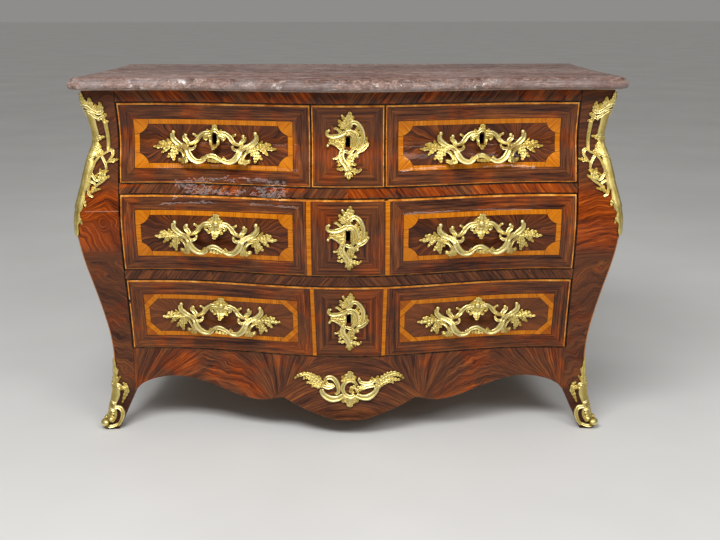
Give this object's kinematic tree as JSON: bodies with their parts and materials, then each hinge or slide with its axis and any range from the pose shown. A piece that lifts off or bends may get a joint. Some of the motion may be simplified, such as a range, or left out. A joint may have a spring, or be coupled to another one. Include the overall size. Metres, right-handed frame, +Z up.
{
  "type": "commode chest",
  "caption": "Bombe serpentine chest of drawers: veneered case, moulded marble top, gilt handles, keyhole mounts, corner mounts and shod splayed feet; drawers slide out.",
  "frame": {"origin": "middle of the overall footprint, on the floor", "axes": "+Z up, -Y out of the drawer fronts, +X to the viewer's right when facing the drawers"},
  "size_m": [1.3212, 0.6514, 0.8843],
  "materials": {
    "veneer": "kingwood and tulipwood veneer, French polished",
    "oak": "plain planed oak, unpolished",
    "marble": "polished veined marble",
    "gilt": "cast, chased and gilt, burnished on the high parts",
    "iron": "dark filed iron"
  },
  "bodies": {
    "case": {"front_right_post": "veneer", "front_left_post": "veneer", "rear_right_post": "veneer", "rear_left_post": "veneer", "right_side_panel": "veneer", "left_side_panel": "veneer", "top_rail": "veneer", "upper_rail": "veneer", "lower_rail": "veneer", "apron": "veneer", "upper_dustboard": "oak", "lower_dustboard": "oak", "bottom_board": "oak", "back_panel": "oak", "left_partition": "oak", "right_partition": "oak", "marble_top": "marble", "apron_mount": "gilt", "right_chute": "gilt", "left_chute": "gilt", "right_sabot": "gilt", "left_sabot": "gilt"},
    "top_left_drawer": {"top_left_drawer_front": "veneer", "top_left_drawer_box": "oak", "top_left_drawer_bottom": "oak", "top_left_drawer_lock": "iron", "top_left_drawer_handle": "gilt"},
    "top_left_drawer_bolt": {"top_left_drawer_bolt": "iron"},
    "top_centre_drawer": {"top_centre_drawer_front": "veneer", "top_centre_drawer_box": "oak", "top_centre_drawer_bottom": "oak", "top_centre_drawer_lock": "iron", "top_centre_drawer_escutcheon": "gilt"},
    "top_centre_drawer_bolt": {"top_centre_drawer_bolt": "iron"},
    "top_right_drawer": {"top_right_drawer_front": "veneer", "top_right_drawer_box": "oak", "top_right_drawer_bottom": "oak", "top_right_drawer_lock": "iron", "top_right_drawer_handle": "gilt"},
    "top_right_drawer_bolt": {"top_right_drawer_bolt": "iron"},
    "middle_drawer": {"middle_drawer_front": "veneer", "middle_drawer_left_side": "oak", "middle_drawer_right_side": "oak", "middle_drawer_back": "oak", "middle_drawer_bottom": "oak", "middle_drawer_lock": "iron", "middle_drawer_escutcheon": "gilt", "middle_drawer_left_handle": "gilt", "middle_drawer_right_handle": "gilt"},
    "middle_drawer_bolt": {"middle_drawer_bolt": "iron"},
    "bottom_drawer": {"bottom_drawer_front": "veneer", "bottom_drawer_left_side": "oak", "bottom_drawer_right_side": "oak", "bottom_drawer_back": "oak", "bottom_drawer_bottom": "oak", "bottom_drawer_lock": "iron", "bottom_drawer_escutcheon": "gilt", "bottom_drawer_left_handle": "gilt", "bottom_drawer_right_handle": "gilt"},
    "bottom_drawer_bolt": {"bottom_drawer_bolt": "iron"}
  },
  "joints": [
    {"name": "top_left_drawer_slide", "type": "slide", "parent": "case", "child": "top_left_drawer", "axis": [0, -1, 0], "range_m": [0, 0.36]},
    {"name": "top_centre_drawer_slide", "type": "slide", "parent": "case", "child": "top_centre_drawer", "axis": [0, -1, 0], "range_m": [0, 0.36]},
    {"name": "top_right_drawer_slide", "type": "slide", "parent": "case", "child": "top_right_drawer", "axis": [0, -1, 0], "range_m": [0, 0.36]},
    {"name": "middle_drawer_slide", "type": "slide", "parent": "case", "child": "middle_drawer", "axis": [0, -1, 0], "range_m": [0, 0.36]},
    {"name": "bottom_drawer_slide", "type": "slide", "parent": "case", "child": "bottom_drawer", "axis": [0, -1, 0], "range_m": [0, 0.36]},
    {"name": "top_left_drawer_bolt_slide", "type": "slide", "parent": "top_left_drawer", "child": "top_left_drawer_bolt", "axis": [0, 0, 1], "range_m": [0, 0.008]},
    {"name": "top_centre_drawer_bolt_slide", "type": "slide", "parent": "top_centre_drawer", "child": "top_centre_drawer_bolt", "axis": [0, 0, 1], "range_m": [0, 0.008]},
    {"name": "top_right_drawer_bolt_slide", "type": "slide", "parent": "top_right_drawer", "child": "top_right_drawer_bolt", "axis": [0, 0, 1], "range_m": [0, 0.008]},
    {"name": "middle_drawer_bolt_slide", "type": "slide", "parent": "middle_drawer", "child": "middle_drawer_bolt", "axis": [0, 0, 1], "range_m": [0, 0.008]},
    {"name": "bottom_drawer_bolt_slide", "type": "slide", "parent": "bottom_drawer", "child": "bottom_drawer_bolt", "axis": [0, 0, 1], "range_m": [0, 0.008]}
  ]
}
